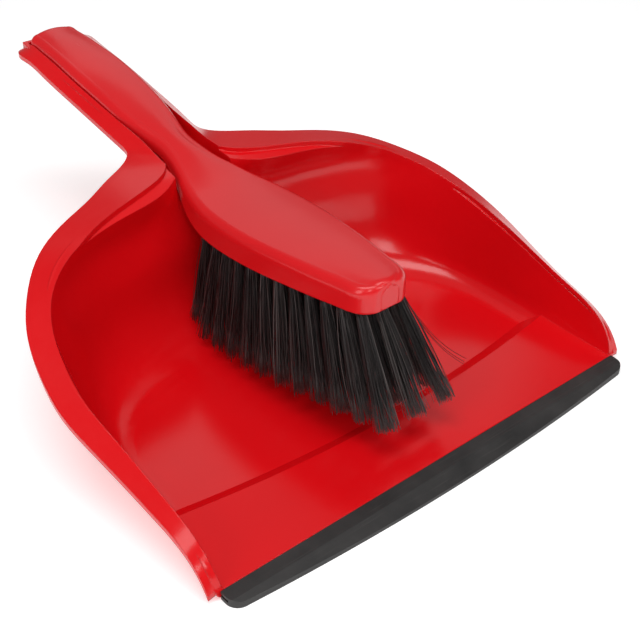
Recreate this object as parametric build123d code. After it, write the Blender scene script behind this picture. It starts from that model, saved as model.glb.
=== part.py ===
from build123d import *
import math
import os

# Dust pan with a rubber lip, and the hand brush that is stored in its handle.
# Millimetres. While modelling, y = 0 is the front of the lip's ends and +y runs to the end
# of the handle, x = 0 is the plane of symmetry and z = 0 is the floor. Every piece is
# moved back by footprint_middle when it is written, so the origin of the set is the
# middle of its footprint on the floor.

# ---- dust pan ----------------------------------------------------------------
pan_end = 326.5                # y of the end of the handle
wall = 2.2                     # moulding thickness
ramp_front = 8.4               # y where the red ramp starts behind the rubber
ramp_start_height = 4.6        # top of the ramp at its front edge
ramp_slope = 0.066             # rise of the ramp per mm
crest_middle = 40.0            # y of the ramp's crest on the centre line
crest_side = 52.0              # y of the crest beside the side walls
crest_height = 7.0
hollow_half_width = 101.0      # of the hollow under the ramp, open to the floor
back_slope = 58.0              # degrees from vertical of the slope behind the crest
floor_top = 2.2                # top of the recessed floor

scoop_half_width = 119.9       # inside of the side walls at side_reference above the scoop's floor
side_reference = 47.8
side_draft = 11.0              # degrees that the walls lean out
side_radius = 12.0             # between floor and side wall
scoop_back = 175.6             # y of the inside of the back wall at back_reference above the floor
back_reference = 75.8
back_draft = 12.0
back_radius = 34.0
front_half_width = 115.4       # inside of the wall at the lip, where it stands almost upright
front_reference = 6.0
front_draft = 5.0
front_radius = 3.0
scoop_shoulder = 62.0          # y where the sides start to curve inwards
scoop_power = 3.0              # squareness of the curve round the back, 2 being an ellipse
level_heights = (0.0, 0.7, 2.2, 4.6, 8.4, 13.5, 20.0, 28.0, 40.0, 60.0, 84.0, 108.0)   # above the floor
outline_steps = 16
middle_angle = 88.2            # one more point of the outline close to the middle of the back
neck_bulge = 13.5              # the back wall swells towards the handle by this at the rim
neck_bulge_width = 22.0
neck_bulge_start = 38.0        # height above the scoop's floor where the swelling starts
neck_bulge_top = 77.0          # and where it reaches neck_bulge
neck_bulge_power = 1.5
neck_bulge_limit = 1.1         # it grows no further than this share above the rim
oversize = 1.5                 # cutting shapes are larger than what they cut by this factor
block_height = 125.0           # taller than any rim
cavity_front = -10.0           # the scoop's space runs out past the lip

# height of the rim's inner edge, and of the flange's outer edge, along y
rim_heights = [(9.0, 5.6), (10.5, 10.5), (14.0, 16.4), (20.0, 21.0), (33.0, 25.8), (64.0, 34.6),
               (97.0, 43.8), (120.0, 52.0), (142.0, 61.0), (160.0, 70.2), (174.0, 76.8), (190.0, 79.6),
               (203.0, 81.9), (216.0, 84.0), (229.0, 86.2), (249.0, 90.3), (268.0, 93.8),
               (293.0, 97.2), (308.0, 98.8), (340.0, 102.0)]
edge_heights = [(9.0, 4.6), (10.5, 8.0), (14.0, 13.0), (20.0, 17.4), (33.0, 21.9), (64.0, 30.2),
                (97.0, 39.6), (127.0, 50.8), (152.0, 60.0), (174.0, 68.4), (187.0, 73.2), (198.0, 75.4),
                (210.0, 77.4), (230.0, 81.4), (260.0, 86.8), (290.0, 91.8), (314.0, 95.0), (330.0, 93.2)]
flange_thickness = 2.6
flange_inset = 1.6             # the flange starts this far inside the wall, then is trimmed
wall_top_drop = 1.9            # the walls end this far under the rim, inside the flange

# plan of the flange: inner edge and outer edge at each station of the right-hand half
flange_stations = [((115.5, 9.0), (120.4, 9.0)),
                   ((116.1, 21.0), (121.0, 21.0)),
                   ((117.3, 44.0), (122.4, 44.0)),
                   ((119.0, 72.0), (125.4, 74.0)),
                   ((119.6, 97.0), (127.4, 98.0)),
                   ((116.6, 115.0), (125.0, 118.0)),
                   ((109.6, 131.0), (119.6, 136.0)),
                   ((97.5, 147.0), (109.6, 153.0)),
                   ((80.5, 160.0), (93.0, 170.5)),
                   ((62.0, 167.8), (74.0, 181.0)),
                   ((44.0, 172.6), (57.0, 188.0)),
                   ((30.0, 176.8), (42.0, 196.4)),
                   ((20.6, 181.6), (27.2, 204.6)),
                   ((15.2, 188.4), (21.6, 211.0)),
                   ((14.3, 203.0), (20.9, 219.0)),
                   ((14.5, 226.0), (21.3, 234.0)),
                   ((15.5, 249.0), (21.5, 252.0)),
                   ((16.0, 270.0), (21.7, 272.0)),
                   ((15.3, 293.0), (21.4, 294.0)),
                   ((14.8, 306.0), (21.3, 308.0)),
                   ((13.8, 316.0), (20.6, 319.6)),
                   ((9.6, 320.0), (14.8, 325.4)),
                   ((0.0, 320.5), (0.0, 326.5))]
trough_first_station = 13      # the trough's plan follows the stations from here on
trough_end_stations = 3        # and leaves out this many at the handle's end
trough_reach = 14.0            # how far its mouth reaches into the scoop
trough_mouth_flare = 1.0
trough_floor = [(150.0, 38.0), (162.0, 47.5), (174.0, 58.5), (188.0, 68.8), (203.0, 73.8), (229.0, 77.8),
                (262.0, 83.2), (300.0, 89.6), (330.0, 94.4)]
trough_corner_radius = 1.2

# ---- rubber lip --------------------------------------------------------------
lip_half_width = 115.0
lip_bow = 5.3                  # the front edge bows out this far in the middle
lip_corner_radius = 6.0
lip_nose = 1.6                 # thickness at the front edge in the middle
lip_back_height = 4.35
lip_top_slope = 0.04           # fall of the top towards the bevel, per mm
bevel_left_y = 1.5             # where the bevel meets the top, at the two ends
bevel_right_y = 1.5
bevel_height = 3.9
tongue_front = 3.9             # the pan's tongue inside the rubber
tongue_low = 1.7
tongue_high = 2.9
tongue_half_width = 108.0
tongue_overlap = 2.0           # its root inside the ramp

# ---- brush block -------------------------------------------------------------
block_front = 42.8
block_end = 319.5
block_half_widths = [(42.8, 12.6), (56.0, 15.6), (78.0, 19.5), (106.0, 22.8), (128.0, 23.6), (150.0, 21.8),
                     (170.0, 16.8), (186.0, 11.6), (201.0, 9.7), (213.0, 11.4), (228.0, 13.7),
                     (249.0, 14.8), (271.0, 15.3), (293.0, 14.5), (308.0, 14.0), (319.5, 13.6)]
block_top = [(40.0, 78.6), (80.0, 77.2), (130.0, 75.0), (158.0, 75.2), (176.0, 78.0), (192.0, 82.0),
             (210.0, 86.2), (228.0, 90.8), (249.0, 95.8), (270.0, 99.6), (293.0, 102.4), (308.0, 103.6),
             (320.0, 104.2)]
block_bottom = [(40.0, 64.4), (80.0, 61.8), (118.0, 59.0), (150.0, 57.4), (164.0, 58.6), (176.0, 63.0),
                (190.0, 71.2), (203.0, 75.4), (229.0, 79.4), (262.0, 84.8), (300.0, 91.2), (320.0, 94.4)]
shoulder_radius = 5.0          # of the head's upper edges
handle_shoulder_radius = 4.5   # and of the handle's
shoulder_change_start = 180.0  # the one turns into the other between these
shoulder_change_end = 240.0
crown = 1.2                    # the top rises this much from its sides to its middle
underside_radius = 1.4
most_of_side = 0.85            # the shoulders take up no more of the side's height than this
tip_radius = 8.0               # of the corners in plan at the tip
end_radius = 3.2               # and at the end of the handle
end_easing = 3.0               # the top and the underside round over this near both ends
top_easing = 0.8               # share of that rounding on the top
underside_easing = 0.3         # and on the underside
block_sections = 26
end_section_steps = (0.0, 0.4, 1.3, 2.8, 5.2)   # closer sections near both ends

# ---- tufts -------------------------------------------------------------------
tuft_rows = 12
first_row = 50.5               # y of the front row at the block's underside
row_pitch = 9.0
tuft_pitch = 8.1               # least spacing of the tufts across the block
tuft_margin = 4.2              # from the block's side to the first tuft's axis
hole_radius = 2.5
hole_depth = 9.0
hole_clearance = 0.05
tuft_tip_radius = 3.9
front_lean = 33.0              # degrees that the front row leans forwards
heel_lean = 0.0
lean_power = 1.5
side_splay = 9.0               # degrees that the outer tufts lean outwards
heel_tip_height = 6.4          # height of the tips of the last rows above the ground
front_tip_height = 20.5
tip_power = 1.4
tip_clearance = 1.6            # from the scoop's curved back to the tips above it
staple_length = 5.8            # the flat wire that holds each folded tuft in its hole
staple_height = 1.6
staple_thickness = 0.4
staple_gap = 0.5               # from the bottom of the hole


def smooth(points, y):
    """Cubic through the points, with the slope of the neighbours at each."""
    last = len(points) - 1
    i = 0
    while i < last - 1 and y > points[i + 1][0]:
        i += 1
    (y0, z0), (y1, z1) = points[i], points[i + 1]
    before = points[max(i - 1, 0)]
    after = points[min(i + 2, last)]
    slope0 = (z1 - before[1]) / (y1 - before[0])
    slope1 = (after[1] - z0) / (after[0] - y0)
    t = (y - y0) / (y1 - y0)
    span = y1 - y0
    return ((2 * t**3 - 3 * t**2 + 1) * z0 + (t**3 - 2 * t**2 + t) * span * slope0
            + (3 * t**2 - 2 * t**3) * z1 + (t**3 - t**2) * span * slope1)


def wall_reach(height, reach, reference, draft, radius, grow):
    """Distance out to a wall at a height above its floor: a fillet, then a line leaning out by draft.

    The inside wall is at reach where the height is reference, and grow moves the surface outwards.
    """
    lean = math.radians(draft)
    radius = radius + grow
    reach = reach + grow / math.cos(lean)
    reference = reference + grow
    contact = radius * (1 - math.sin(lean))
    if height >= contact:
        return reach + (height - reference) * math.tan(lean)
    centre = reach + (contact - reference) * math.tan(lean) - radius * math.cos(lean)
    return centre + math.sqrt(radius**2 - (radius - height) ** 2)


def bulge(height, x):
    """How far the back wall is pushed back towards the handle."""
    share = (height - neck_bulge_start) / (neck_bulge_top - neck_bulge_start)
    share = min(max(share, 0.0), neck_bulge_limit)
    return neck_bulge * share**neck_bulge_power * math.exp(-((x / neck_bulge_width) ** 2))


def scoop_level(height, grow, front_y):
    """Plan of the scoop's wall at a height above its floor, larger all round by grow."""
    half = wall_reach(height, scoop_half_width, side_reference, side_draft, side_radius, grow)
    back = wall_reach(height, scoop_back, back_reference, back_draft, back_radius, grow)
    front = wall_reach(height, front_half_width, front_reference, front_draft, front_radius, grow)
    right = [(front, front_y), ((front + half) / 2, (scoop_shoulder + front_y) / 2)]
    angles = [90.0 * i / outline_steps for i in range(outline_steps)] + [middle_angle, 90.0]
    for angle in angles:
        x = half * max(math.cos(math.radians(angle)), 0.0) ** (2 / scoop_power)
        y = scoop_shoulder + (back - scoop_shoulder) * math.sin(math.radians(angle)) ** (2 / scoop_power)
        right.append((x if angle < 90.0 else 0.0, y + bulge(height - grow, x)))
    left = [(-x, y) for x, y in reversed(right[:-1])]
    outline = Curve() + [Spline(*(right + left)), Line((-front, front_y), (front, front_y))]
    return Plane.XY.offset(floor_top - grow + height) * make_face(outline)


def scoop_block(grow, front_y):
    """The scoop's space (grow 0) or its outside (grow = wall), filled up to above the rim."""
    return loft([scoop_level(height, grow, front_y) for height in level_heights])


def flange():
    """Sloping strip round the rim and along both sides of the handle, one half."""
    inner = []
    outer = []
    for (inner_x, inner_y), (outer_x, outer_y) in flange_stations:
        run = math.hypot(outer_x - inner_x, outer_y - inner_y)
        inner_height = smooth(rim_heights, inner_y)
        outer_height = smooth(edge_heights, outer_y)
        back = flange_inset / run
        inset_x = max(inner_x - (outer_x - inner_x) * back, 0.0)
        inset_y = inner_y - (outer_y - inner_y) * back
        inner.append(Vector(inset_x, inset_y, inner_height + (inner_height - outer_height) * back))
        outer.append(Vector(outer_x, outer_y, outer_height))
    down = Vector(0, 0, -flange_thickness)
    rails = []
    for points in (inner, outer, [p + down for p in inner], [p + down for p in outer]):
        left = [Vector(-p.X, p.Y, p.Z) for p in reversed(points[:-1])]
        rails.append(Spline(*(points + left)).edge())
    in_top, out_top, in_low, out_low = rails
    pairs = ((in_top, out_top), (in_low, out_low), (in_top, in_low), (out_top, out_low))
    sides = [Face.make_surface_from_curves(first, second) for first, second in pairs]
    for side in (1, -1):
        corners = [inner[0], outer[0], outer[0] + down, inner[0] + down]
        sides.append(make_face(Polyline(*[(side * p.X, p.Y, p.Z) for p in corners], close=True)).face())
    return Solid(Shell(sides))


def trough(grow):
    """The handle's channel (grow 0) or its outside (grow = wall), from inside the scoop to its end."""
    right = [(x + grow, y) for (x, y), _ in flange_stations[trough_first_station:-trough_end_stations]]
    end_y = flange_stations[-1][0][1] + grow
    right.append((right[-1][0] - trough_corner_radius, end_y))
    left = [(-x, y) for x, y in reversed(right)]
    mouth = (right[0][0] + trough_mouth_flare, right[0][1] - trough_reach)
    outline = Curve() + [Spline(*right), Line(right[-1], left[0]), Spline(*left),
                         Polyline(left[-1], (-mouth[0], mouth[1]), mouth, right[0])]
    prism = extrude(make_face(outline), amount=block_height, dir=(0, 0, 1))
    floor = [(y, z - grow) for y, z in trough_floor]
    closing = Polyline(floor[-1], (floor[-1][0], block_height), (floor[0][0], block_height), floor[0])
    side_view = make_face(Curve() + [Spline(*floor), closing])
    return prism & extrude(Plane.YZ * side_view, amount=scoop_half_width, both=True)


def below_rim():
    """Everything lower than the top of the walls, from the lip to the handle's end."""
    heights = [(y, smooth(rim_heights, y) - wall_top_drop) for y in range(10, 336, 8)]
    closing = Polyline(heights[-1], (heights[-1][0], -wall), (ramp_front, -wall),
                       (ramp_front, ramp_start_height), heights[0])
    side_view = make_face(Curve() + [Spline(*heights), closing])
    return extrude(Plane.YZ * side_view, amount=block_height * 2, both=True)


def ramp_plan(height, setback):
    """Plan of the ramp at a height: straight sides, and a bowed edge behind the crest."""
    wide = scoop_half_width * oversize
    bow = (crest_side - crest_middle) * (wide / scoop_half_width) ** 2
    middle = crest_middle + (crest_height - height) * math.tan(math.radians(back_slope)) - setback
    back_edge = ThreePointArc((wide, middle + bow), (0, middle), (-wide, middle + bow))
    rest = Polyline((-wide, middle + bow), (-wide, -wide), (wide, -wide), (wide, middle + bow))
    return Plane.XY.offset(height) * make_face(Curve() + [back_edge, rest])


def ramp_space(drop, setback):
    """Wedge under the ramp's surface, lowered by drop; its bowed back slope is moved forward by setback."""
    wedge = loft([ramp_plan(0.0, setback), ramp_plan(crest_height * oversize, setback)], ruled=True)
    top = ramp_start_height - drop
    rise = ramp_slope * scoop_half_width
    near = ramp_front - scoop_half_width
    far = ramp_front + scoop_half_width
    corners = [(near, top - rise), (far, top + rise), (far, -wall), (near, -wall)]
    side_view = make_face(Polyline(*corners, close=True))
    return wedge & extrude(Plane.YZ * side_view, amount=scoop_half_width * 2, both=True)


def dust_pan():
    """One moulding: scoop, ramp, sloping flange, channelled handle and the tongue for the rubber."""
    outside = (scoop_block(wall, ramp_front) + trough(wall)) & below_rim()
    shell = outside + flange() - scoop_block(0.0, cavity_front) - trough(0.0)
    inside = scoop_block(wall / 2, ramp_front)
    ramp = ramp_space(0.0, 0.0) & inside
    shell = shell + ramp
    under = Box(hollow_half_width * 2, scoop_shoulder * 2, block_height)
    under = Pos(0, ramp_front + wall + scoop_shoulder, 0) * under
    shell = shell - (ramp_space(wall, wall) & under)
    tongue_length = ramp_front - tongue_front + tongue_overlap
    tongue = Box(tongue_half_width * 2, tongue_length, tongue_high - tongue_low)
    middle_y = (tongue_front + ramp_front + tongue_overlap) / 2
    return shell + Pos(0, middle_y, (tongue_low + tongue_high) / 2) * tongue


def lip_front(x):
    """y of the lip's bowed front edge."""
    return -lip_bow * (1 - (x / lip_half_width) ** 2)


def rubber_lip():
    """Strip with a bowed and bevelled front edge, slotted at the back for the pan's tongue."""
    corner_x = lip_half_width - lip_corner_radius
    corner_y = lip_front(corner_x) + lip_corner_radius
    bend = lip_corner_radius * (1 - math.sqrt(0.5))
    side_y = lip_front(corner_x) + bend
    front = lip_front(corner_x)
    sides = Polyline((lip_half_width, corner_y), (lip_half_width, ramp_front),
                     (-lip_half_width, ramp_front), (-lip_half_width, corner_y))
    outline = Curve() + [
        ThreePointArc((-corner_x, front), (0, -lip_bow), (corner_x, front)),
        ThreePointArc((corner_x, front), (lip_half_width - bend, side_y), (lip_half_width, corner_y)),
        sides,
        ThreePointArc((-lip_half_width, corner_y), (-lip_half_width + bend, side_y), (-corner_x, front))]
    strip = extrude(make_face(outline), amount=lip_back_height, dir=(0, 0, 1))
    long = lip_half_width * 2 * oversize
    above = Box(long, lip_half_width, lip_half_width, align=(Align.CENTER, Align.CENTER, Align.MIN))
    fall = math.degrees(math.atan(lip_top_slope))
    strip = strip - Pos(0, ramp_front, lip_back_height) * Rot(fall, 0, 0) * above
    left = Vector(-lip_half_width, bevel_left_y, bevel_height)
    right = Vector(lip_half_width, bevel_right_y, bevel_height)
    nose = Vector(0, -lip_bow, lip_nose)
    along = (right - left).normalized()
    bevel = Plane(origin=nose, x_dir=along, z_dir=along.cross(left - nose).normalized())
    strip = strip - bevel * above
    slot = Box(long, ramp_front - tongue_front, tongue_high - tongue_low)
    return strip - Pos(0, (tongue_front + ramp_front) / 2, (tongue_low + tongue_high) / 2) * slot


def rounded_in(distance, radius):
    """How far a rounded corner of this radius lies inside its sharp one, at a distance from the end."""
    if distance >= radius:
        return 0.0
    return radius - math.sqrt(radius**2 - (radius - distance) ** 2)


def half_width_at(y):
    corner = tip_radius if y < scoop_shoulder else end_radius
    distance = min(y - block_front, block_end - y)
    return smooth(block_half_widths, y) - rounded_in(distance, corner)


def scoop_height(y):
    """Height of the scoop's floor and curved back on the centre line."""
    lean = math.radians(back_draft)
    contact = back_radius * (1 - math.sin(lean))
    centre = scoop_back + (contact - back_reference) * math.tan(lean) - back_radius * math.cos(lean)
    beyond = max(y - centre, 0.0)
    return floor_top + back_radius - math.sqrt(back_radius**2 - beyond**2)


def tufts():
    """Axis of every tuft: its row, root on the underside, direction and length to its tip."""
    placed = []
    for row in range(tuft_rows):
        y = first_row + row_pitch * row
        along = row / (tuft_rows - 1)
        room = half_width_at(y) - tuft_margin
        count = 1 + int(2 * room / tuft_pitch)
        lean = math.radians(heel_lean + (front_lean - heel_lean) * (1 - along) ** lean_power)
        tip_height = heel_tip_height + (front_tip_height - heel_tip_height) * (1 - along) ** tip_power
        root_height = smooth(block_bottom, y)
        back_edge = y - math.tan(lean) * (root_height - tip_height) + tuft_tip_radius
        tip_height = max(tip_height, scoop_height(back_edge) + tip_clearance)
        for i in range(count):
            side = 2 * i / (count - 1) - 1
            splay = math.radians(side_splay * side)
            root = Vector(room * side, y, root_height)
            direction = Vector(math.tan(splay), -math.tan(lean), -1.0).normalized()
            length = (root.Z - tip_height) / -direction.Z
            placed.append((row + 1, root, direction, length))
    return placed


def along_axis(root, direction, start):
    return Plane(origin=root + direction * start, z_dir=direction)


def tuft(root, direction, length):
    """Bundle of filaments as one solid: a plug in its hole, then a spreading cone."""
    plug_radius = hole_radius - hole_clearance
    plug = extrude(along_axis(root, direction, -hole_depth) * Circle(plug_radius), amount=hole_depth)
    brush_end = along_axis(root, direction, length) * Circle(tuft_tip_radius)
    cone = loft([along_axis(root, direction, 0) * Circle(plug_radius), brush_end])
    return plug + cone - staple(root, direction)


def staple(root, direction):
    """Flat wire driven across the bottom of the hole, which the tuft is folded over."""
    place = along_axis(root, direction, -hole_depth + staple_gap + staple_height / 2)
    return place * Box(staple_length, staple_thickness, staple_height)


def block_section(y):
    """Cross-section of the block: crowned top with soft shoulders, eased edges below."""
    distance = min(y - block_front, block_end - y)
    half = half_width_at(y)
    top = smooth(block_top, y) - rounded_in(distance, end_easing) * top_easing
    low = smooth(block_bottom, y) + rounded_in(distance, end_easing) * underside_easing
    change = min(max((y - shoulder_change_start) / (shoulder_change_end - shoulder_change_start), 0.0), 1.0)
    shoulder = shoulder_radius + (handle_shoulder_radius - shoulder_radius) * change
    edge = top - crown
    shoulder = min(shoulder, half - underside_radius, (edge - low - underside_radius) * most_of_side)
    bend = math.sqrt(0.5)
    points = [(half - shoulder, edge), (half - shoulder * (1 - bend), edge - shoulder * (1 - bend)),
              (half, edge - shoulder), (half, low + underside_radius),
              (half - underside_radius * (1 - bend), low + underside_radius * (1 - bend)),
              (half - underside_radius, low)]
    mirrored = [(-x, z) for x, z in points]
    edges = [ThreePointArc(mirrored[0], (0, top), points[0]),
             ThreePointArc(*points[0:3]), Line(*points[2:4]), ThreePointArc(*points[3:6]),
             Line(points[5], mirrored[5]),
             ThreePointArc(*reversed(mirrored[3:6])), Line(mirrored[3], mirrored[2]),
             ThreePointArc(*reversed(mirrored[0:3]))]
    place = Plane(origin=(0, y, 0), x_dir=(1, 0, 0), z_dir=(0, -1, 0))
    return place * make_face(Curve() + edges)


def brush_block():
    """Head and handle in one moulding, with a blind hole and a staple slot for each tuft."""
    near_ends = [block_front + step for step in end_section_steps]
    near_ends = near_ends + [block_end - step for step in end_section_steps]
    first = block_front + end_section_steps[-1]
    room = block_end - block_front - 2 * end_section_steps[-1]
    between = [first + room * i / block_sections for i in range(1, block_sections)]
    block = loft([block_section(y) for y in sorted(near_ends + between)])
    cutters = []
    for _, root, direction, _ in tufts():
        bottom = along_axis(root, direction, -hole_depth) * Circle(hole_radius)
        cutters.append(extrude(bottom, amount=hole_depth * 2))
        cutters.append(staple(root, direction))
    return block - cutters


def write(name, *solids):
    """Move the solids into the set's frame and write them as one node."""
    footprint_middle = (pan_end - lip_bow) / 2
    moved = [Pos(0, -footprint_middle, 0) * solid for solid in solids]
    export_step(moved[0] if len(moved) == 1 else Compound(children=moved), f"parts/{name}.step")


def main():
    os.makedirs("parts", exist_ok=True)
    write("dust_pan", dust_pan())
    write("rubber_lip", rubber_lip())
    write("brush_block", brush_block())
    placed = tufts()
    for number, (_, root, direction, length) in enumerate(placed, start=1):
        write(f"tuft_{number:02d}", tuft(root, direction, length))
    write("anchor_staples", *[staple(root, direction) for _, root, direction, _ in placed])


main()
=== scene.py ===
import math

import bpy
import numpy as np
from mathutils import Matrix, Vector


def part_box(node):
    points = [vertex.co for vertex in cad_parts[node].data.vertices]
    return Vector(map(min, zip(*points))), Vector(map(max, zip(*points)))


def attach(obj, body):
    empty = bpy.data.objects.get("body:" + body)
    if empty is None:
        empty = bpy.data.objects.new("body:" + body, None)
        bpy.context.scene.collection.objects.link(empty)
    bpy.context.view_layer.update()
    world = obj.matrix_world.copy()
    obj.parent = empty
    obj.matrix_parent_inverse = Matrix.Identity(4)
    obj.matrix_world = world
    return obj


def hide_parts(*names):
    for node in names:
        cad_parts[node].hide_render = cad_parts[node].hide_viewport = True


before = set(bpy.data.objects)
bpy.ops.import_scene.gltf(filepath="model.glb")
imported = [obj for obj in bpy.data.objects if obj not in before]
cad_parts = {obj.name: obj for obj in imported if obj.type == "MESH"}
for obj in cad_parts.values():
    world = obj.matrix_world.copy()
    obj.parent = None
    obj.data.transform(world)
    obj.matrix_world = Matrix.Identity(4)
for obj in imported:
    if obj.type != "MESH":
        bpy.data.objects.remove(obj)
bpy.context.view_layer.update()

MM = 0.001
rng = np.random.default_rng(17)

# ---- sizes, in metres ----------------------------------------------------------
lip_bow = 5.3 * MM                       # the rubber's front edge bows out in the middle
lip_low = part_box("rubber_lip")[0]
lip_y = lip_low[1] + lip_bow             # where the front edge would be without the bow

# the CAD tufts: a plug in the block's hole, then a cone that leans outwards
hole_depth = 9.0 * MM
plug_radius = 2.45 * MM
cone_radius = 3.9 * MM
tip_height = 1.2 * MM                    # end of a tuft's axis, above the lowest point of its box

# the filaments that replace each tuft
filaments_per_tuft = 118
filament_radius = 0.17 * MM
filament_taper = 0.3                     # share of its radius that a filament loses by its tip
filament_sides = 3
filament_rings = 7
root_depth = 2.5 * MM                    # how far into the hole the filaments reach
root_spread = 0.85 * plug_radius
splay_radius = 6.5 * MM                  # spread of a tuft's tips about its axis
clumps_per_tuft = 5
clump_reach = 0.55                       # how far from the axis clumps of tips gather
even_share = 0.72                        # of the splay that follows a filament's place in its hole
clump_share = 0.38                       # and that follows its clump
loose_share = 0.10                       # and that is its own
fan_power = 1.25                         # how late along its length a tuft opens
length_spread = 0.012
worn_tips = 0.6 * MM
bow_spread = 0.7 * MM
longest_curl = 2.2 * MM

# long filaments that have sprung out on the right, from the middle of the lip's front on the floor
stray_root = (13.5 * MM, 50.0 * MM, 62.0 * MM)
stray_ends = [(50.5 * MM, 44.0 * MM, 9.5 * MM),
              (53.0 * MM, 46.0 * MM, 8.5 * MM),
              (56.0 * MM, 47.5 * MM, 8.0 * MM)]
stray_rings = 12
stray_hang = 5.0 * MM                    # how far they hang under a straight line

camera_azimuth = -39.73                  # degrees, 0 looks along +Y
camera_elevation = 35.315
camera_distance = 582.86 * MM
camera_target = Vector((30.26 * MM, lip_y + 124.72 * MM, 0.0))
camera_lens = 64.69                      # mm on a 36 mm sensor


# ---- node helpers --------------------------------------------------------------
def new_material(name):
    """A material with a Principled shader, and a maker of its nodes: n0=... is the first input."""
    material = bpy.data.materials.new(name)
    material.use_nodes = True
    tree = material.node_tree
    shader = tree.nodes["Principled BSDF"]

    def add(kind, settings=None, **inputs):
        node = tree.nodes.new("ShaderNode" + kind)
        for key, value in (settings or {}).items():
            setattr(node, key, value)
        for key, value in inputs.items():
            numbered = key[0] == "n" and key[1:].isdigit()
            socket = node.inputs[int(key[1:]) if numbered else key.replace("_", " ")]
            if isinstance(value, bpy.types.NodeSocket):
                tree.links.new(value, socket)
            else:
                socket.default_value = value
        return node

    return material, tree, shader, add


def ramp(add, factor, stops):
    """Colour ramp: stops are (position, value or colour)."""
    node = add("ValToRGB", Fac=factor)
    elements = node.color_ramp.elements
    while len(elements) < len(stops):
        elements.new(0.5)
    for element, (position, colour) in zip(elements, stops):
        element.position = position
        element.color = colour if isinstance(colour, tuple) else (colour, colour, colour, 1.0)
    return node.outputs["Color"]


def mix_colours(add, factor, first, second):
    return add("Mix", {"data_type": "RGBA"}, n0=factor, n6=first, n7=second).outputs[2]


def multiply(add, first, second):
    return add("Math", {"operation": "MULTIPLY"}, n0=first, n1=second).outputs[0]


def multiply_add(add, first, second, third):
    return add("Math", {"operation": "MULTIPLY_ADD"}, n0=first, n1=second, n2=third).outputs[0]


def map_range(add, value, low, high):
    """Value from 0 to 1, moved to low to high."""
    node = add("MapRange", Value=value)
    node.inputs["To Min"].default_value = low
    node.inputs["To Max"].default_value = high
    return node.outputs[0]


def noise(add, place, scale, detail, roughness=0.5):
    return add("TexNoise", Vector=place, Scale=scale, Detail=detail, Roughness=roughness).outputs["Fac"]


def stretched(add, place, scale, turn=0.0):
    """Object coordinates scaled by axis, for marks that run one way."""
    node = add("Mapping", Vector=place)
    node.inputs["Scale"].default_value = scale
    node.inputs["Rotation"].default_value = (0.0, 0.0, turn)
    return node.outputs["Vector"]


def red_plastic(name, colour, deep, gloss):
    """Moulded polypropylene: mottled pigment, orange-peel gloss, hairline scuffs, rounded edges painted
    paler as wear and as a painted highlight.
    """
    material, tree, shader, add = new_material(name)
    place = add("TexCoord").outputs["Object"]

    pigment = ramp(add, noise(add, place, 14.0, 3.0), [(0.3, deep), (0.7, colour)])
    # paler pink on convex edges: edge wear and a painted highlight along the rims
    edges = ramp(add, add("NewGeometry").outputs["Pointiness"], [(0.52, 0.0), (0.6, 1.0)])
    edge_wear_and_highlight = multiply(add, multiply(add, edges, noise(add, place, 260.0, 4.0)), 0.12)
    colour_out = mix_colours(add, edge_wear_and_highlight, pigment, (0.85, 0.06, 0.06, 1.0))
    tree.links.new(colour_out, shader.inputs["Base Color"])

    lines = noise(add, stretched(add, place, (900.0, 26.0, 300.0), 0.35), 1.0, 6.0, 0.7)
    patches = noise(add, place, 9.0, 5.0, 0.6)
    where = ramp(add, patches, [(0.45, 0.0), (0.65, 1.0)])
    scratch = multiply(add, ramp(add, lines, [(0.62, 0.0), (0.7, 1.0)]), where)
    rough = map_range(add, patches, gloss, gloss + 0.09)
    tree.links.new(multiply_add(add, scratch, 0.12, rough), shader.inputs["Roughness"])

    height = multiply_add(add, scratch, -0.5, noise(add, place, 170.0, 2.0))
    soft_edges = add("Bevel", {"samples": 4}, Radius=0.7 * MM).outputs["Normal"]
    bump = add("Bump", Strength=0.07, Distance=0.4 * MM, Height=height, Normal=soft_edges)
    tree.links.new(bump.outputs["Normal"], shader.inputs["Normal"])
    shader.inputs["IOR"].default_value = 1.49
    return material


def black_rubber():
    """Extruded rubber: near black, dull, with pale dust in its grain and faint drag lines."""
    material, tree, shader, add = new_material("lip_rubber")
    place = add("TexCoord").outputs["Object"]

    patches = noise(add, place, 38.0, 6.0, 0.65)
    base = ramp(add, patches, [(0.3, (0.012, 0.011, 0.011, 1.0)), (0.75, (0.035, 0.032, 0.031, 1.0))])
    drag = noise(add, stretched(add, place, (40.0, 1500.0, 1500.0)), 1.0, 4.0)
    dust = ramp(add, drag, [(0.6, 0.0), (0.78, 0.5)])
    dusty = mix_colours(add, dust, base, (0.07, 0.063, 0.06, 1.0))
    tree.links.new(dusty, shader.inputs["Base Color"])
    tree.links.new(map_range(add, patches, 0.42, 0.7), shader.inputs["Roughness"])

    height = multiply_add(add, drag, 0.6, noise(add, place, 900.0, 3.0))
    bump = add("Bump", Strength=0.25, Distance=0.15 * MM, Height=height)
    tree.links.new(bump.outputs["Normal"], shader.inputs["Normal"])
    return material


def bristle_nylon():
    """Dark filaments, each its own shade, with a satin sheen and paler dusty ends."""
    material, tree, shader, add = new_material("bristle_nylon")
    shade = add("Attribute", {"attribute_name": "shade"}).outputs["Fac"]
    along = add("Attribute", {"attribute_name": "along"}).outputs["Fac"]

    base = ramp(add, shade, [(0.0, (0.009, 0.0065, 0.0065, 1.0)), (0.7, (0.024, 0.018, 0.018, 1.0)),
                             (0.86, (0.07, 0.056, 0.053, 1.0)), (1.0, (0.15, 0.125, 0.12, 1.0))])
    tips = ramp(add, along, [(0.74, 0.0), (1.0, 0.7)])
    dusty = mix_colours(add, tips, base, (0.10, 0.088, 0.085, 1.0))
    tree.links.new(dusty, shader.inputs["Base Color"])
    tree.links.new(map_range(add, shade, 0.3, 0.48), shader.inputs["Roughness"])
    shader.inputs["Specular IOR Level"].default_value = 0.6
    return material


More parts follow.
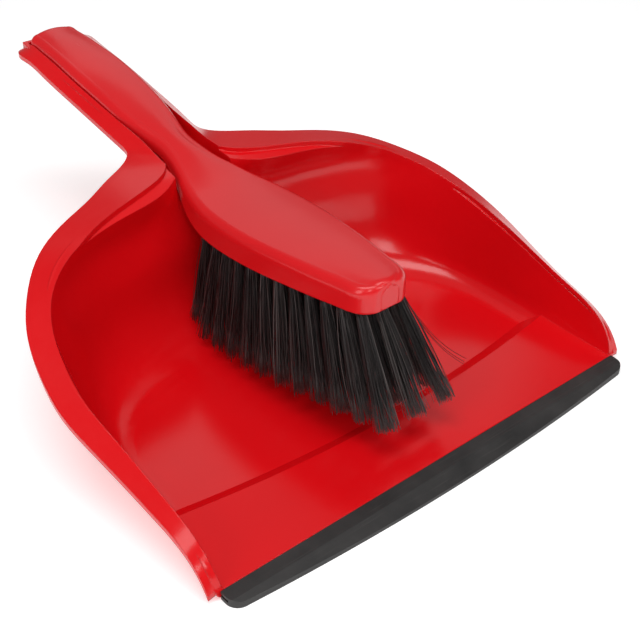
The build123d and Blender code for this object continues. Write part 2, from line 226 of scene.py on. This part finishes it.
def bare_wire():
    material, tree, shader, add = new_material("staple_wire")
    grain = noise(add, add("TexCoord").outputs["Object"], 1200.0, 2.0)
    tree.links.new(ramp(add, grain, [(0.3, 0.45), (0.7, 0.6)]), shader.inputs["Base Color"])
    shader.inputs["Metallic"].default_value = 1.0
    shader.inputs["Roughness"].default_value = 0.35
    return material


def stage_white():
    """White paper that glows a little, so that it burns out to white."""
    material, _, shader, _ = new_material("stage_white")
    shader.inputs["Base Color"].default_value = (0.92, 0.92, 0.92, 1.0)
    shader.inputs["Emission Color"].default_value = (1.0, 1.0, 1.0, 1.0)
    shader.inputs["Emission Strength"].default_value = 0.4
    shader.inputs["Roughness"].default_value = 0.9
    shader.inputs["Specular IOR Level"].default_value = 0.1
    return material


# ---- CAD nodes that keep their shape ------------------------------------------
def dress(node, material):
    """Give a CAD node's own mesh a material."""
    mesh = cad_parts[node].data
    mesh.materials.clear()
    mesh.materials.append(material)


# ---- bristles -----------------------------------------------------------------
def axis_ends(low, high, top_radius, tip_radius, outward):
    """Where a leaning cone's axis starts and ends along one axis, from its box."""
    shift = (high - low) - (top_radius + tip_radius)
    middle = (low + high) / 2
    if shift <= tip_radius - top_radius:
        return middle, middle
    if outward > 0:
        return low + top_radius, high - tip_radius
    return high - top_radius, low + tip_radius


def tuft_axis(node):
    """Start inside the hole and tip of a tuft's axis."""
    low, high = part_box(node)
    middle = (Vector(low) + Vector(high)) / 2
    x0, x1 = axis_ends(low[0], high[0], plug_radius, cone_radius, middle.x)
    y0, y1 = axis_ends(low[1], high[1], plug_radius, cone_radius, -1)
    return Vector((x0, y0, high[2])), Vector((x1, y1, low[2] + tip_height))


def add_filament(verts, faces, centres, side, other, phase):
    """A thin tapered tube through the centres."""
    first = len(verts)
    rings = len(centres) - 1
    for ring, centre in enumerate(centres):
        thin = filament_radius * (1.0 - filament_taper * ring / rings)
        for corner in range(filament_sides):
            turn = 2 * math.pi * corner / filament_sides + phase
            verts.append(centre + side * (thin * math.cos(turn)) + other * (thin * math.sin(turn)))
    for ring in range(rings):
        for corner in range(filament_sides):
            a = first + ring * filament_sides + corner
            b = first + ring * filament_sides + (corner + 1) % filament_sides
            faces.append((a, b, b + filament_sides, a + filament_sides))
    last = first + rings * filament_sides
    faces.append(tuple(range(first, first + filament_sides))[::-1])
    faces.append(tuple(range(last, last + filament_sides)))


def filament_mesh(name, verts, faces, shades, alongs):
    mesh = bpy.data.meshes.new(name)
    mesh.from_pydata([tuple(p) for p in verts], [], faces)
    for key, values in (("shade", shades), ("along", alongs)):
        mesh.attributes.new(key, "FLOAT", "POINT").data.foreach_set("value", values)
    for polygon in mesh.polygons:
        polygon.use_smooth = True
    return mesh


def tuft_mesh(name, start, tip):
    """A bundle of tapered filaments that spreads from its hole to its tips."""
    length = (tip - start).length
    axis = (tip - start).normalized()
    side = axis.cross(Vector((0, 1, 0))).normalized()
    other = axis.cross(side)
    steps = [ring / filament_rings for ring in range(filament_rings + 1)]
    verts, faces, shades, alongs = [], [], [], []
    clumps = rng.uniform(-1, 1, (clumps_per_tuft, 2)) * clump_reach
    for _ in range(filaments_per_tuft):
        angle = rng.uniform(0, 2 * math.pi)
        radius = math.sqrt(rng.uniform(0, 1))
        u = radius * math.cos(angle)
        v = radius * math.sin(angle)
        clump = clumps[rng.integers(0, len(clumps))]
        end_u = (u * even_share + clump[0] * clump_share + rng.normal(0, loose_share)) * splay_radius
        end_v = (v * even_share + clump[1] * clump_share + rng.normal(0, loose_share)) * splay_radius
        reach = length * (1 + rng.normal(0, length_spread)) - abs(rng.normal(0, worn_tips))
        bow_u, bow_v = rng.normal(0, bow_spread, 2)
        curl = rng.uniform(0.0, 1.0) ** 3 * longest_curl
        shade = rng.uniform(0, 1)
        centres = []
        for t in steps:
            ease = t ** fan_power
            bend = math.sin(math.pi * t)
            off_u = u * root_spread * (1 - ease) + end_u * ease + bow_u * bend
            off_v = v * root_spread * (1 - ease) + end_v * ease + bow_v * bend + curl * t ** 6
            centres.append(start + axis * (reach * t) + side * off_u + other * off_v)
        add_filament(verts, faces, centres, side, other, angle)
        shades += [shade] * (len(steps) * filament_sides)
        alongs += [t for t in steps for _ in range(filament_sides)]
    return filament_mesh(name, verts, faces, shades, alongs)


def stray_mesh(name, start, ends):
    """Single filaments that hang in a curve from one root to each end."""
    verts, faces = [], []
    steps = [ring / stray_rings for ring in range(stray_rings + 1)]
    for end in ends:
        drops = [Vector((0, 0, stray_hang * math.sin(math.pi * t))) for t in steps]
        centres = [start + (end - start) * t - drop for t, drop in zip(steps, drops)]
        add_filament(verts, faces, centres, Vector((1, 0, 0)), Vector((0, 0, 1)), 0.0)
    return filament_mesh(name, verts, faces, [0.3] * len(verts), [0.2] * len(verts))


def add_piece(name, mesh, material, body, nodes):
    """A visible piece that rides a body, and takes the place of the CAD nodes, if any."""
    piece = bpy.data.objects.new(name, mesh)
    bpy.context.collection.objects.link(piece)
    mesh.materials.append(material)
    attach(piece, body)
    if nodes:
        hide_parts(*nodes)
    return piece


def make_bristles(material):
    """One piece of filaments in place of each tuft."""
    for node in sorted(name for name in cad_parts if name.startswith("tuft_")):
        name = "bristles_" + node.removeprefix("tuft_")
        start, tip = tuft_axis(node)
        start = start + (tip - start).normalized() * (hole_depth - root_depth)
        add_piece(name, tuft_mesh(name, start, tip), material, "brush", [node])


def make_strays(material):
    """Three long filaments that have sprung out of the right-hand side."""
    lip_front = Vector((0.0, lip_y, 0.0))
    ends = [lip_front + Vector(end) for end in stray_ends]
    mesh = stray_mesh("stray_filaments", lip_front + Vector(stray_root), ends)
    add_piece("stray_filaments", mesh, material, "brush", [])


# ---- stage, lights and camera -------------------------------------------------
def make_stage():
    half = 6.0
    corners = [(-half, -half, 0), (half, -half, 0), (half, half, 0), (-half, half, 0)]
    mesh = bpy.data.meshes.new("floor")
    mesh.from_pydata(corners, [], [(0, 1, 2, 3)])
    floor = bpy.data.objects.new("floor", mesh)
    bpy.context.collection.objects.link(floor)
    mesh.materials.append(stage_white())
    world = bpy.data.worlds.new("studio")
    bpy.context.scene.world = world
    world.use_nodes = True
    background = world.node_tree.nodes["Background"]
    background.inputs["Color"].default_value = (1.0, 1.0, 1.0, 1.0)
    background.inputs["Strength"].default_value = 0.16
    bpy.context.scene.view_settings.view_transform = "Standard"


def soft_box(name, place, aim, size, brightness):
    """Rectangular light whose face is this bright, white paper in full light being 1."""
    light = bpy.data.lights.new(name, "AREA")
    light.shape = "RECTANGLE"
    light.size, light.size_y = size
    light.energy = math.pi * size[0] * size[1] * brightness
    holder = bpy.data.objects.new(name, light)
    bpy.context.collection.objects.link(holder)
    holder.location = place
    holder.rotation_euler = (Vector(aim) - Vector(place)).to_track_quat("-Z", "Y").to_euler()
    return holder


def make_lights():
    middle = Vector((0, 0, 0.04))
    soft_box("top", (-0.25, -0.25, 1.45), middle, (1.2, 0.55), 4.7)
    soft_box("left", (-1.25, -0.35, 0.75), middle, (0.5, 0.8), 3.1)
    soft_box("window", (-0.62, -1.15, 0.95), middle, (0.4, 0.5), 4.6)
    soft_box("back_card", (0.85, 1.02, 0.96), middle, (1.1, 0.8), 0.5)
    soft_box("front", (0.35, -1.25, 0.95), middle, (0.6, 0.5), 4.2)
    panel = soft_box("dim_panel", (0.16, 0.25, 0.9), (0.16, 0.25, 0.0), (0.8, 1.6), 0.16)
    panel.rotation_euler = (0.0, 0.0, -0.30)


def make_camera():
    azimuth = math.radians(camera_azimuth)
    elevation = math.radians(camera_elevation)
    back = Vector((math.sin(azimuth) * math.cos(elevation), -math.cos(azimuth) * math.cos(elevation),
                   math.sin(elevation)))
    data = bpy.data.cameras.new("camera")
    data.lens = camera_lens
    data.sensor_width = 36.0
    data.clip_start = 0.01
    holder = bpy.data.objects.new("camera", data)
    bpy.context.collection.objects.link(holder)
    holder.location = camera_target + back * camera_distance
    holder.rotation_euler = (-back).to_track_quat("-Z", "Y").to_euler()
    bpy.context.scene.camera = holder


pan_red = red_plastic("pan_red", (0.78, 0.0035, 0.0075, 1.0), (0.73, 0.003, 0.006, 1.0), 0.13)
brush_red = red_plastic("brush_red", (0.76, 0.012, 0.016, 1.0), (0.71, 0.009, 0.013, 1.0), 0.17)
dress("dust_pan", pan_red)
dress("brush_block", brush_red)
dress("rubber_lip", black_rubber())
dress("anchor_staples", bare_wire())
nylon = bristle_nylon()
make_bristles(nylon)
make_strays(nylon)
make_stage()
make_lights()
make_camera()
